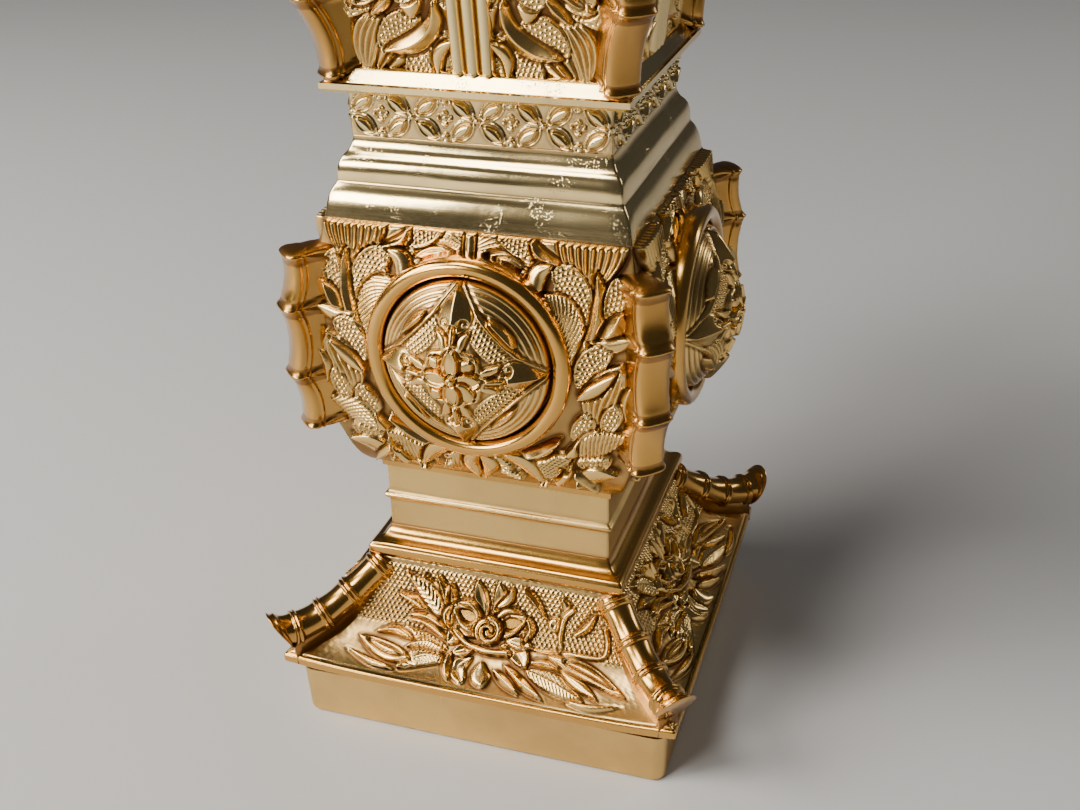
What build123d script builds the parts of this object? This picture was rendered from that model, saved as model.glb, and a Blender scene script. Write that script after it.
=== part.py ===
from build123d import *
import os
from math import sqrt

# A square gilt-brass altar vase, built as stacked castings drawn together by one stud.
# Origin: centre of the plinth's bottom face. +Z is up and -Y is the front.
# Sizes are in mm. A "half" is half the side of a level square section, and a profile point is
# (half, height), so each profile also gives the shape of the four mitred corners.

os.makedirs("parts", exist_ok=True)

# ---- driving dimensions -------------------------------------------------------------------
PLINTH_HALF = 27.0        # at the table
PLINTH_TOP_HALF = 27.3
PLINTH_Z = 8.0
DECK_Z = 6.2              # underside of the plinth's deck
STEP_Z = 23.7             # where the foot step sits on the skirt
COLLAR_Z = 28.1
BODY_Z = 38.1
SHOULDER_Z = 75.4
BAND_Z = 85.3
NECK_Z = 91.1
RIM_Z = 149.0
TOP_Z = 157.0

WALL = 1.9                # casting wall, measured level
PLAY = 0.1                # clearance of every spigot in its socket
SPIGOT_DEPTH = 2.5        # how far a spigot reaches into the casting below
SPIGOT_ROOT = 1.5         # how far it is rooted in its own casting
SPIGOT_WALL = 1.3

MEDALLION_Z = 60.0
RING_R = 13.5
RING_BORE_R = 11.0
RING_FACE = 25.0          # distance of the ring's face from the vase's axis
BOSS_EDGE = 24.3
BOSS_APEX = 29.5

CANE_R = 1.95             # radius of the cane along each corner fin
WEB_T = 2.8               # thickness of the plate behind it
RIB_R = 2.35
KNOT_OUT = 0.35           # how far a cane's knot stands out
KNOT_T = 0.9

STUD_R = 2.0
STUD_HOLE_R = 2.2
BODY_FLOOR_Z = 40.6
LEDGE_Z = 132.0           # the liner's flange rests here, inside the neck
LEDGE_HALF = 18.5
LEDGE_T = 1.8
LINER_R = 11.0
LINER_BORE_R = 10.0
LINER_BOTTOM_Z = 44.0
FLANGE_HALF = 20.4
FLANGE_T = 1.2

REACH = 60.0              # longer than any half of the vase


# ---- builders -----------------------------------------------------------------------------
def squared(*runs):
    """A solid with a square level section, from runs of (half, height) points that join end to
    end: two points make a straight run, more make a smooth one."""
    edges = [Line(*run) if len(run) == 2 else Spline(*run) for run in runs]
    bottom, top = runs[0][0], runs[-1][-1]
    edges += [Line(top, (0, top[1])), Line((0, top[1]), (0, bottom[1])), Line((0, bottom[1]), bottom)]
    half_face = Plane.XZ * make_face(edges)
    prism = extrude(half_face + mirror(half_face, Plane.YZ), REACH, both=True)
    return prism & Rot(Z=90) * prism


def square_bar(half, low, high):
    return Pos(Z=low) * Box(2 * half, 2 * half, high - low, align=(Align.CENTER, Align.CENTER, Align.MIN))


def spigot(socket_half, joint_z):
    """The square collar that keys a casting into the one below, whose hollow ends at socket_half."""
    low, high = joint_z - SPIGOT_DEPTH, joint_z + SPIGOT_ROOT
    outer = socket_half - PLAY
    return square_bar(outer, low, high) - square_bar(outer - SPIGOT_WALL, low, high)


def upright(radius, low, high):
    return Pos(Z=low) * Cylinder(radius, high - low, align=(Align.CENTER, Align.CENTER, Align.MIN))


def cane(knots, dips, radius):
    """A bamboo cane in the XZ plane through (x, z) knots. Each length between two knots is an arc
    that dips sideways by its own amount, positive to the left of the way the knots run."""
    solid = None
    for start, end, dip in zip(knots, knots[1:], dips):
        a, b = Vector(start[0], 0, start[1]), Vector(end[0], 0, end[1])
        along = (b - a).normalized()
        left = Vector(-along.Z, 0, along.X)
        path = ThreePointArc(a, (a + b) / 2 + left * dip, b)
        section = Plane(origin=path @ 0, z_dir=path % 0) * Circle(radius)
        length = sweep(section, path=path)
        solid = length if solid is None else solid + length
    for before, here, after in zip([knots[0]] + knots[:-1], knots, knots[1:] + [knots[-1]]):
        tangent = Vector(after[0] - before[0], 0, after[1] - before[1])
        at = Plane(origin=(here[0], 0, here[1]), z_dir=tangent)
        solid += at * Sphere(radius)
        solid += at * Cylinder(radius + KNOT_OUT, KNOT_T)
    return solid


def web(outline, thickness):
    """A flat plate in the XZ plane, centred on it."""
    return extrude(Plane.XZ * make_face(Polyline(*outline, close=True)), thickness / 2, both=True)


def diagonal(points):
    """(half, height) points on a corner as (distance from the axis, height)."""
    return [(half * sqrt(2), height) for half, height in points]


def four(name, shape, first_angle, seat):
    """The same piece on each corner or face, counted anticlockwise from above, cut to lie on seat."""
    first = Rot(Z=first_angle) * shape - seat
    for k in range(4):
        pieces[f"{name}_{k + 1}"] = Rot(Z=90 * k) * first


CORNER = -45.0            # front right corner
FACE = -90.0              # front face
pieces = {}

# ---- plinth -------------------------------------------------------------------------------
plinth = squared([(PLINTH_HALF, 0), (PLINTH_TOP_HALF, PLINTH_Z)])
plinth = fillet(plinth.edges().filter_by(lambda e: abs(e.center().Z - PLINTH_Z / 2) < 0.1), 1.8)
plinth = fillet(plinth.edges().group_by(Axis.Z)[0], 0.7)
SKIRT_SOCKET = 24.4
plinth -= square_bar(PLINTH_HALF - 2.4, 0, DECK_Z)
plinth -= upright(STUD_HOLE_R, DECK_Z, PLINTH_Z)
plinth += square_bar(SKIRT_SOCKET - PLAY, PLINTH_Z, 9.2) - square_bar(SKIRT_SOCKET - 1.5, PLINTH_Z, 9.2)
pieces["plinth"] = plinth

# ---- skirt and its four hip ribs ----------------------------------------------------------
SKIRT_BORE = 15.4
skirt_outside = squared(
    [(26.7, PLINTH_Z), (28.9, 9.3)],
    [(28.9, 9.3), (28.9, 10.5)],
    [(28.9, 10.5), (25.0, 12.4), (21.5, 15.6), (19.2, 19.3), (17.9, STEP_Z)],
)
skirt_inside = squared(
    [(SKIRT_SOCKET, PLINTH_Z), (SKIRT_SOCKET, 9.4)],
    [(SKIRT_SOCKET, 9.4), (20.6, 12.8), (17.7, 16.8), (16.2, 20.5), (SKIRT_BORE, STEP_Z)],
)
skirt = skirt_outside - skirt_inside

rib_knots = diagonal([(18.0, 21.0), (21.0, 18.4), (24.2, 16.2), (27.2, 15.3), (29.6, 15.6)])
rib = cane(rib_knots, [-0.1, 0.1, 0.2, 0.15], RIB_R)
rib += web(diagonal([(17.2, 20.5), (21.0, 18.4), (24.2, 16.2), (27.2, 15.3), (29.4, 15.4),
                     (28.4, 9.8), (23.0, 10.5), (17.2, 15.0)]), WEB_T)
STEP_HALF = 18.8
rib -= Rot(Z=45) * square_bar(STEP_HALF, STEP_Z, COLLAR_Z)
four("base_rib", rib, CORNER, skirt_outside)
pieces["base_skirt"] = skirt

# ---- foot step and collar -----------------------------------------------------------------
STEP_BORE, COLLAR_BORE = 14.6, 13.8
pieces["foot_step"] = squared(
    [(18.2, STEP_Z), (STEP_HALF, 24.5)],
    [(STEP_HALF, 24.5), (STEP_HALF, 25.5)],
    [(STEP_HALF, 25.5), (18.3, 26.1)],
    [(18.3, 26.1), (17.0, 26.7), (16.2, COLLAR_Z)],
) - square_bar(STEP_BORE, STEP_Z, COLLAR_Z) + spigot(SKIRT_BORE, STEP_Z)

BEAD_Z, BEAD_OUT, BEAD_H = 33.1, 0.6, 1.2
COLLAR_HALF = 16.1
pieces["foot_collar"] = squared(
    [(COLLAR_HALF, COLLAR_Z), (COLLAR_HALF, BEAD_Z - BEAD_H / 2)],
    [(COLLAR_HALF, BEAD_Z - BEAD_H / 2), (COLLAR_HALF + BEAD_OUT, BEAD_Z), (COLLAR_HALF, BEAD_Z + BEAD_H / 2)],
    [(COLLAR_HALF, BEAD_Z + BEAD_H / 2), (COLLAR_HALF, BODY_Z)],
) - square_bar(COLLAR_BORE, COLLAR_Z, BODY_Z) + spigot(STEP_BORE, COLLAR_Z)

# ---- belly ---------------------------------------------------------------------------------
BODY_BORE = 18.0
body_outside = squared(
    [(16.5, BODY_Z), (16.5, 38.9)],
    [(16.5, 38.9), (17.9, 40.0), (19.9, 44.5), (21.4, 50.0), (22.1, 56.0), (22.2, 60.0), (21.7, 66.0),
     (20.7, 71.0), (19.9, SHOULDER_Z)],
)
body = body_outside - squared(
    [(15.6, BODY_FLOOR_Z), (17.9, 45.0), (19.4, 50.4), (20.1, 56.0), (20.2, 60.0), (19.7, 66.0),
     (18.8, 71.0), (BODY_BORE, SHOULDER_Z)],
)
body -= upright(STUD_HOLE_R, BODY_Z, BODY_FLOOR_Z)
pieces["body_shell"] = body + spigot(COLLAR_BORE, BODY_Z)

# The fins' outermost line is at a half of about 25; a cane's centre is its radius inside that.
fin_knots = diagonal([(22.6, 48.4), (23.6, 55.5), (23.6, 65.0), (22.6, 71.0)])
fin = cane(fin_knots, [0.5, 0.6, 0.4], CANE_R)
fin += web(diagonal([(19.5, 47.2), (22.6, 47.2), (23.6, 55.5), (23.6, 65.0), (22.6, 72.3), (18.6, 72.3)]), WEB_T)
four("body_fin", fin, CORNER, body_outside)

disc = Plane.YZ * Pos(0, MEDALLION_Z)
ring = extrude(disc * Circle(RING_R), RING_FACE) - extrude(disc * Circle(RING_BORE_R), RING_FACE)
ring = fillet(ring.edges().group_by(Axis.X)[-1], 0.9)
four("medallion_ring", ring, FACE, body_outside)

boss_r = RING_BORE_R - 0.05
boss_rise = BOSS_APEX - BOSS_EDGE
ball_r = (boss_r ** 2 + boss_rise ** 2) / (2 * boss_rise)
halfway = (BOSS_APEX - ball_r + sqrt(ball_r ** 2 - (boss_r / 2) ** 2), boss_r / 2)
boss_half = make_face([
    Line((0, 0), (0, boss_r)),
    Line((0, boss_r), (BOSS_EDGE, boss_r)),
    ThreePointArc((BOSS_EDGE, boss_r), halfway, (BOSS_APEX, 0)),
    Line((BOSS_APEX, 0), (0, 0)),
])
four("medallion_boss", Pos(Z=MEDALLION_Z) * revolve(boss_half, Axis.X), FACE, body_outside)

# ---- shoulder and lattice band -------------------------------------------------------------
SHOULDER_BORE, BAND_BORE, NECK_BORE = 14.9, 14.3, 13.7
pieces["shoulder_moulding"] = squared(
    [(19.9, SHOULDER_Z), (19.75, 76.2)],
    [(19.75, 76.2), (19.5, 77.5), (19.0, 78.9), (18.4, 79.8)],
    [(18.4, 79.8), (18.3, 81.3), (17.9, 82.6), (17.3, 83.3)],
    [(17.3, 83.3), (16.8, 84.2), (16.6, BAND_Z)],
) - squared(
    [(17.5, SHOULDER_Z), (17.2, 76.5)],
    [(17.2, 76.5), (16.4, 79.5)],
    [(16.4, 79.5), (SHOULDER_BORE, 83.5)],
    [(SHOULDER_BORE, 83.5), (SHOULDER_BORE, BAND_Z)],
) + spigot(BODY_BORE, SHOULDER_Z)

BAND_HALF = 16.55
pieces["lattice_band"] = (
    square_bar(BAND_HALF, BAND_Z, NECK_Z) - square_bar(BAND_BORE, BAND_Z, NECK_Z) + spigot(SHOULDER_BORE, BAND_Z)
)

# ---- neck, its fins and reeds ---------------------------------------------------------------
LIP_Z = 93.1
neck_side = [(16.3, LIP_Z), (16.9, 98.0), (17.7, 104.0), (18.9, 112.0), (20.4, 120.0), (22.6, 130.0),
             (25.0, 140.0), (27.4, RIM_Z)]
neck_outside = squared(
    [(18.8, NECK_Z), (19.2, 91.5)],
    [(19.2, 91.5), (19.2, 92.2)],
    [(19.2, 92.2), (16.3, LIP_Z)],
    neck_side,
)
neck_hollow = squared([(NECK_BORE, NECK_Z), (NECK_BORE, LIP_Z)],
                      [(NECK_BORE, LIP_Z)] + [(half - WALL, z) for half, z in neck_side[1:]])
ledge = square_bar(REACH, LEDGE_Z - LEDGE_T, LEDGE_Z) - square_bar(LEDGE_HALF, LEDGE_Z - LEDGE_T, LEDGE_Z)
RIM_SOCKET = neck_side[-1][0] - WALL
neck = neck_outside - (neck_hollow - ledge) - square_bar(RIM_SOCKET, RIM_Z - SPIGOT_DEPTH, RIM_Z)
pieces["neck_shell"] = neck + spigot(BAND_BORE, NECK_Z)

neck_fin_knots = diagonal([(17.5, 94.0), (19.6, 102.2), (20.8, 113.0), (22.5, 124.0), (24.8, 135.5), (27.6, 146.6)])
neck_fin = cane(neck_fin_knots, [0.9, 0.8, 0.8, 0.8, 0.8], CANE_R)
neck_fin += web(diagonal([(15.0, 92.4), (17.6, 92.4)] + [(w / sqrt(2), z) for w, z in neck_fin_knots[1:]]
                         + [(28.0, 148.4), (24.0, 148.4), (18.0, 124.0)]), WEB_T)
neck_fin -= square_bar(REACH, RIM_Z, RIM_Z + 5) + square_bar(REACH, 90.0, 92.2)
four("neck_fin", neck_fin, CORNER, neck_outside)

# Three reeds stand side by side on each neck face and lean out with it.
REED_R, REED_PITCH = 1.25, 2.1
reed_line = [(17.1, 92.9), (18.6, 98.4), (19.9, 104.0), (21.3, 112.0), (22.8, 120.0), (24.8, 130.0),
             (26.6, 140.0), (27.7, 146.5)]
reed_path = Spline(*[(half, 0, z) for half, z in reed_line])
reed = sweep(Plane(origin=reed_path @ 0, z_dir=reed_path % 0) * Circle(REED_R), path=reed_path)
backing = web([(14.0, 92.9)] + reed_line + [(24.0, 146.5)], 3 * REED_PITCH)
reeds = backing + [Pos(Y=side * REED_PITCH) * reed for side in (-1, 0, 1)]
reeds -= square_bar(REACH, RIM_Z - 1, RIM_Z + 5)
four("neck_reeds", reeds, FACE, neck_outside)

# ---- mouth rim ------------------------------------------------------------------------------
pieces["mouth_rim"] = squared(
    [(27.4, RIM_Z), (28.9, 150.3)],
    [(28.9, 150.3), (29.9, 151.4), (30.1, 152.6), (29.4, 154.0)],
    [(29.4, 154.0), (29.4, 155.4)],
    [(29.4, 155.4), (29.2, 156.4), (28.4, TOP_Z)],
) - squared([(24.9, RIM_Z), (27.3, TOP_Z)]) + spigot(RIM_SOCKET, RIM_Z)

# ---- lift-out liner -------------------------------------------------------------------------
flange_top = LEDGE_Z + FLANGE_T
lip_top = flange_top + 1.2
liner = upright(LINER_R, LINER_BOTTOM_Z, flange_top) + upright(LINER_R + 1.2, flange_top, lip_top)
liner = fillet(liner.edges().group_by(Axis.Z)[-1], 0.5)
liner = fillet(liner.edges().group_by(Axis.Z)[0], 1.5)
pieces["liner_tube"] = liner - upright(LINER_BORE_R, LINER_BOTTOM_Z + 1, lip_top)
pieces["liner_flange"] = fillet(
    square_bar(FLANGE_HALF, LEDGE_Z, flange_top).edges().filter_by(Axis.Z), 1.5
) - upright(LINER_R + 0.05, LEDGE_Z, flange_top)

# ---- the stud that holds the stack together ---------------------------------------------------
WASHER_T, NUT_H, NUT_ACROSS_FLATS = 1.0, 3.2, 7.0
HEAD_R, HEAD_H = 4.5, 1.8
nut_top = DECK_Z - WASHER_T
stud_end = nut_top - NUT_H - 0.8
pieces["tie_stud"] = upright(STUD_R, stud_end, BODY_FLOOR_Z) + upright(HEAD_R, BODY_FLOOR_Z, BODY_FLOOR_Z + HEAD_H)
pieces["tie_washer"] = upright(5.0, nut_top, DECK_Z) - upright(STUD_HOLE_R, nut_top, DECK_Z)
hexagon = RegularPolygon(NUT_ACROSS_FLATS / 2, 6, major_radius=False)
nut = Pos(Z=nut_top - NUT_H) * extrude(hexagon, NUT_H)
pieces["tie_nut"] = nut - upright(STUD_R + 0.05, nut_top - NUT_H, nut_top)

for name, shape in pieces.items():
    shape.label = name
    export_step(shape, f"parts/{name}.step")
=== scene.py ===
import math

import bmesh
import bpy
import numpy as np
from mathutils import Matrix, Vector
from mathutils.bvhtree import BVHTree


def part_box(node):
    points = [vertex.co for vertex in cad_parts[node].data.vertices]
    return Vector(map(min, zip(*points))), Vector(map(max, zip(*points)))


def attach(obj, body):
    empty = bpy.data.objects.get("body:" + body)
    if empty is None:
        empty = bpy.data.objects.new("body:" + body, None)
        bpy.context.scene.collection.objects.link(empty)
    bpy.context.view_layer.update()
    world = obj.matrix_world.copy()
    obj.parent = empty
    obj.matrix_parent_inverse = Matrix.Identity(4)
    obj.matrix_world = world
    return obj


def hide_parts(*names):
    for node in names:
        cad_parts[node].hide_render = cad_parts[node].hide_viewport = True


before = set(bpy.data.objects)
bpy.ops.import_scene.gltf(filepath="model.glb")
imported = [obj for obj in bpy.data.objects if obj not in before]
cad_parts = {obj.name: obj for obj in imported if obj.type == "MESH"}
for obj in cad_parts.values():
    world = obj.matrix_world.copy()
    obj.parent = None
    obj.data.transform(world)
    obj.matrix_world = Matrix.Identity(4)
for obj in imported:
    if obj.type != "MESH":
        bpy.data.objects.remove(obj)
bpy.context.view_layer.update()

# All making is in millimetres, turned into metres as each mesh is built. The front face is -Y.
# A face's own coordinates are x across it, s up it, and h out of it.
MM = 0.001
FACES = ("front", "right", "back", "left")
ROOT2 = math.sqrt(2)
MOULDING_STEP = 0.12      # between the points of a plain moulding's section
CORNER_STEPS = 4          # round each corner of a square ring


# ---- small maths ----
def unit(value):
    """The value, held between 0 and 1."""
    return np.clip(value, 0.0, 1.0)


def arc(value):
    """The height of a half circle of radius 1, a value away from its middle."""
    return np.sqrt(unit(1 - value ** 2))


def ramp(low, high, value):
    """0 below low, 1 above high, with a smooth turn between them."""
    t = unit((value - low) / (high - low))
    return t * t * (3 - 2 * t)


def smooth_line(points, per_span=14):
    """A Catmull-Rom line through points, as a dense polyline."""
    p = np.array(points, float)
    if len(p) == 2:
        return np.linspace(p[0], p[1], per_span)
    p = np.vstack([2 * p[0] - p[1], p, 2 * p[-1] - p[-2]])
    t = np.linspace(0, 1, per_span, endpoint=False)[:, None]
    spans = [
        0.5 * (2 * b + (c - a) * t + (2 * a - 5 * b + 4 * c - d) * t ** 2 + (3 * b - a - 3 * c + d) * t ** 3)
        for a, b, c, d in zip(p, p[1:], p[2:], p[3:])
    ]
    return np.vstack(spans + [p[-2][None]])


def spin(quarters, *points):
    """Flat points turned about the origin by a number of quarter turns."""
    c, s = ((1, 0), (0, 1), (-1, 0), (0, -1))[quarters]
    return [(c * x - s * y, s * x + c * y) for x, y in points]


def blur(field, reach):
    """Box blur over reach samples each way, twice, along both axes."""
    for _ in range(2):
        for axis in (0, 1):
            padded = np.pad(field, [(reach + 1, reach) if a == axis else (0, 0) for a in (0, 1)], "edge")
            total = np.cumsum(padded, axis=axis)
            ahead = np.take(total, range(2 * reach + 1, total.shape[axis]), axis=axis)
            behind = np.take(total, range(0, total.shape[axis] - 2 * reach - 1), axis=axis)
            field = (ahead - behind) / (2 * reach + 1)
    return field


def wobble(x, y, scale, seed):
    """Smooth unevenness of about -1 to 1, as a sum of slanted waves."""
    rng = np.random.default_rng(seed)
    total = np.zeros(np.broadcast(x, y).shape)
    for _ in range(7):
        angle, phase = rng.uniform(0, math.tau, 2)
        pitch = scale * rng.uniform(0.7, 1.9)
        total += np.sin((x * math.cos(angle) + y * math.sin(angle)) * math.tau / pitch + phase)
    return total / 4


# ---- reading the CAD model's shape ----
def probe(node, heights, inside=False):
    """Half-width of a square node at each height: where a level line beside the axis meets it."""
    beside = 0.4
    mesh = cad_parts[node].data
    tree = BVHTree.FromPolygons([v.co for v in mesh.vertices], [p.vertices for p in mesh.polygons])
    found = []
    for z in heights:
        start, way = (0.0, 1.0) if inside else (0.1, -1.0)
        hit = tree.ray_cast(Vector((start, beside * MM, z * MM)), Vector((way, 0, 0)))[0]
        found.append(abs(hit.x) / MM if hit else np.nan)
    return np.array(found)


def span(node):
    """A node's lowest and highest level."""
    low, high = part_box(node)
    return low.z / MM, high.z / MM


def side_line(node, low, high, step=0.1, inside=False):
    """(half, height) points up the side of a square node."""
    z = np.linspace(low + 0.02, high - 0.02, max(4, int((high - low) / step)))
    half = probe(node, z, inside=inside)
    good = ~np.isnan(half)
    line = np.stack([half[good], z[good]], 1)
    line[0, 1], line[-1, 1] = low, high
    return line


def even(line, step):
    """The same polyline with even steps, and the distance along it."""
    length = np.concatenate([[0], np.cumsum(np.hypot(*np.diff(line, axis=0).T))])
    s = np.linspace(0, length[-1], max(2, int(round(length[-1] / step)) + 1))
    return np.stack([np.interp(s, length, line[:, 0]), np.interp(s, length, line[:, 1])], 1), s


def worn(line, reach):
    """Rounds a fine polyline's corners, keeping its ends."""
    out = line.copy()
    for _ in range(reach):
        out[1:-1] = (out[:-2] + 2 * out[1:-1] + out[2:]) / 4
    return out


def outward(line):
    """Unit normals of an upward (half, height) line, pointing away from the axis."""
    d = np.gradient(line, axis=0)
    n = np.stack([d[:, 1], -d[:, 0]], 1)
    return n / np.maximum(np.linalg.norm(n, axis=1), 1e-9)[:, None]


# ---- building meshes ----
def make_mesh(name, verts, faces, tone=None):
    """A smooth mesh from points in millimetres. Its tone says how dark each point is painted, 0 to 1, mostly
    as painted shade.
    """
    mesh = bpy.data.meshes.new(name)
    mesh.from_pydata((np.asarray(verts, float) * MM).tolist(), [], faces)
    if tone is not None:
        layer = mesh.attributes.new("tone", "FLOAT", "POINT")
        layer.data.foreach_set("value", np.asarray(tone, np.float32))
    work = bmesh.new()
    work.from_mesh(mesh)
    bmesh.ops.recalc_face_normals(work, faces=work.faces)
    work.to_mesh(mesh)
    work.free()
    mesh.polygons.foreach_set("use_smooth", [True] * len(mesh.polygons))
    return mesh


def add(name, mesh, material, slot, replaces=(), turn=0.0):
    """Puts a piece on the vessel, turned about the axis, in place of the CAD nodes it stands for."""
    obj = bpy.data.objects.new(name, mesh)
    bpy.context.scene.collection.objects.link(obj)
    obj.rotation_euler = (0, 0, math.radians(turn))
    if not mesh.materials:
        mesh.materials.append(material)
    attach(obj, "vessel")
    if replaces:
        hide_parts(*replaces)


def grid_faces(rows, columns, start=0, wrap_columns=False, wrap_rows=False):
    """Quads between the points of a grid, row after row from the point numbered start."""
    down = np.arange(rows if wrap_rows else rows - 1)
    across = np.arange(columns if wrap_columns else columns - 1)
    i, j = np.meshgrid(down, across, indexing="ij")
    i2, j2 = (i + 1) % rows, (j + 1) % columns
    quads = np.stack([i * columns + j, i * columns + j2, i2 * columns + j2, i2 * columns + j], -1)
    return (quads.reshape(-1, 4) + start).tolist()


def tube_faces(rows, columns, start=0):
    """The faces of a closed tube: its wall and both its ends."""
    last = start + (rows - 1) * columns
    ends = [list(range(start + columns - 1, start - 1, -1)), list(range(last, last + columns))]
    return grid_faces(rows, columns, start, wrap_columns=True) + ends


def square_ring(name, section, outside, columns=18, corner=0.35, lift=None, uneven=0.03, seed=1):
    """A square ring swept round by its closed (half, height) section. Only the outside points, a flag each,
    get the slight unevenness of a hand-finished casting. Hollows of the section get painted shade, and the
    joints at its ends are darker, for residue at the seams and painted shade where the parts meet."""
    section, outside = np.asarray(section, float), np.asarray(outside, float)
    count = int(outside.sum())
    near = np.minimum(np.arange(count), count - 1 - np.arange(count)) * MOULDING_STEP
    around = np.array([section[max(0, k - 6):min(count, k + 7), 0].mean() for k in range(count)])
    # tone: painted shade in the section's hollows, and darker joints at both ends, partly residue and partly
    # painted shade
    tone = np.full(len(section), 0.5)
    hollow = np.clip(2.2 * (around - section[:count, 0]), -0.1, 0.5)
    tone[:count] = 0.33 + hollow + 0.35 * (1 - ramp(0.1, 0.5, near))
    t = np.linspace(-1, 1, columns)
    half, height = section[:, :1], section[:, 1:]
    radius = np.minimum(corner, half * 0.4)
    x = t[None] * (half - radius)
    y = -half + 0 * x
    a = np.linspace(0, math.pi / 2, CORNER_STEPS + 1)[None, 1:-1]
    cx = (half - radius) + radius * np.sin(a)
    cy = -(half - radius) - radius * np.cos(a)
    x, y = np.hstack([x, cx]), np.hstack([y, cy])
    z = height + 0 * x
    if lift is not None:
        z = z + lift(np.abs(x) / np.maximum(half, 1), half)
    width = x.shape[1]
    sides = [np.stack([*spin(k, (x, y))[0], z], -1) for k in range(4)]
    verts = np.concatenate(sides, axis=1)
    push = uneven * outside[:, None] * wobble(verts[..., 0] + verts[..., 1], verts[..., 2] * 2, 9.0, seed)
    scale = 1 + push / np.maximum(np.hypot(verts[..., 0], verts[..., 1]), 1)
    verts[..., :2] *= scale[..., None]
    faces = grid_faces(len(section), 4 * width, wrap_columns=True, wrap_rows=True)
    return make_mesh(name, verts.reshape(-1, 3), faces, np.repeat(tone, 4 * width))


def ring_section(node, low, high, step, reach):
    """A closed section for square_ring: up the outside, worn round, and down the inside."""
    out = worn(even(side_line(node, low, high), step)[0], reach)
    inner = side_line(node, low, high, step=1.0, inside=True)[::-1]
    return np.vstack([out, inner]), np.concatenate([np.ones(len(out)), np.zeros(len(inner))])


# ---- relief on a face ----
class Relief:
    """A height field over a face, carved by the motifs below. Later motifs lie over earlier ones.
    With mirror, each motif is laid on the face's other half too, unless it says otherwise."""

    def __init__(self, x, s, mirror=True):
        self.x, self.s, self.mirror = x, s, mirror
        self.h = np.zeros_like(x)

    def sides(self, mirror):
        """1 for a motif as drawn, -1 for its mirror image."""
        return (1, -1) if (self.mirror if mirror is None else mirror) else (1,)

    def outlines(self, points, width, skew, power, mirror):
        """For each side of a pointed outline along a line: its samples, their share along it, their
        lateral distance, the line's length and the outline's half width there."""
        for side in self.sides(mirror):
            index, t, d, length = self.along(smooth_line(np.array(points, float) * (side, 1)), width)
            yield index, t, d, length, width / 2 * np.sin(np.pi * unit(t) ** skew) ** power + 1e-6

    def along(self, line, reach):
        """Samples within reach of a line: their indices, share along it, lateral distance and the
        line's length. The distance is positive on the line's left."""
        lo, hi = line.min(0) - reach, line.max(0) + reach
        inside = (self.x > lo[0]) & (self.x < hi[0]) & (self.s > lo[1]) & (self.s < hi[1])
        rows, cols = np.nonzero(inside)
        p = np.stack([self.x[rows, cols], self.s[rows, cols]], 1)
        a, b = line[:-1], line[1:]
        ab = b - a
        length = np.linalg.norm(ab, axis=1)
        share = np.einsum("pkc,kc->pk", p[:, None] - a[None], ab) / np.maximum(length ** 2, 1e-12)
        clipped = unit(share)
        gap = p[:, None] - (a[None] + clipped[..., None] * ab[None])
        best = np.argmin((gap ** 2).sum(-1), axis=1)
        k = np.arange(len(p))
        share[:, 0] = np.minimum(share[:, 0], 1)
        d = (ab[best, 0] * gap[k, best, 1] - ab[best, 1] * gap[k, best, 0])
        dist = np.sqrt((gap[k, best] ** 2).sum(-1)) * np.where(d >= 0, 1, -1)
        start = np.concatenate([[0], np.cumsum(length)])
        t = (start[best] + clipped[k, best] * length[best]) / start[-1]
        return (rows, cols), t, dist, start[-1]

    def lay(self, index, edge, shape, blend=0.22):
        """Lays shape over what is there wherever edge, the distance in from the motif's rim, is positive,
        and cuts a fine trench round it."""
        cover = ramp(0, blend, edge)
        trench = 1 - 0.7 * ramp(-0.42, 0, edge)
        self.h[index] = self.h[index] * trench * (1 - cover) + shape * cover

    def leaf(self, points, width, kind="smooth", base=0.35, rise=0.45, ridges=5, skew=0.8, power=0.8,
             lean=0.7, pitch=0.62, mirror=None):
        """A pointed leaf along a line: plain, faceted, hollow, looped, ribbed across, ridged along its
        length, or veined. As in every motif, base is how high its edge stands and rise what the rest
        adds to that."""
        for index, t, d, length, half in self.outlines(points, width, skew, power, mirror):
            edge = half - np.abs(d)
            n = np.clip(d / half, -1, 1)
            dome = arc(n)
            if kind == "smooth":
                shape = rise * dome
            elif kind == "blade":
                shape = rise * 1.25 * (1 - np.abs(n))
            elif kind == "scoop":
                shape = rise * (0.35 + 0.65 * np.abs(n) ** 1.5)
            elif kind == "loop":
                shape = rise * (np.exp(-((edge - 0.27) / 0.17) ** 2) + 0.2 * dome)
            elif kind == "ribbed":
                shape = rise * (0.5 * dome + 0.6 * np.abs(np.sin(np.pi * (t * length - d * lean) / pitch)))
            elif kind == "fan":
                shape = rise * (0.35 * dome + 0.75 * np.abs(np.sin(np.pi * ridges * (n + 1) / 2)))
            else:
                veins = np.abs(np.sin(np.pi * (t * length - np.abs(d) * lean) / pitch))
                rib = 1 - ramp(0.0, 0.28, np.abs(d))
                shape = rise * (0.45 * dome + 0.5 * veins * (1 - rib) + 0.5 * rib)
            self.lay(index, edge, base + shape)

    def pod(self, points, width, base=0.18, rim=0.36, rim_rise=0.4, pitch=0.64, power=0.6):
        """A pod-shaped cell: a rounded rim round a sunk floor of raised grains."""
        for index, t, d, length, half in self.outlines(points, width, 0.9, power, None):
            edge = half - np.abs(d)
            lip = arc((edge - rim / 2) / (rim / 2))
            floor = base + grains(t * length, d, pitch) * ramp(rim * 0.9, rim * 1.3, edge)
            shape = np.where(edge < rim, base + rim_rise * lip, floor)
            self.lay(index, edge, shape, 0.1)

    def stem(self, points, start, end, base=0.3, rise=0.45, mirror=None):
        """A half-round stem that tapers from start to end wide."""
        for side in self.sides(mirror):
            line = smooth_line(np.array(points, float) * (side, 1))
            index, t, d, _ = self.along(line, max(start, end))
            half = (start + (end - start) * t) / 2
            shape = base + rise * arc(d / half)
            self.lay(index, half - np.abs(d), shape, 0.15)

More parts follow.
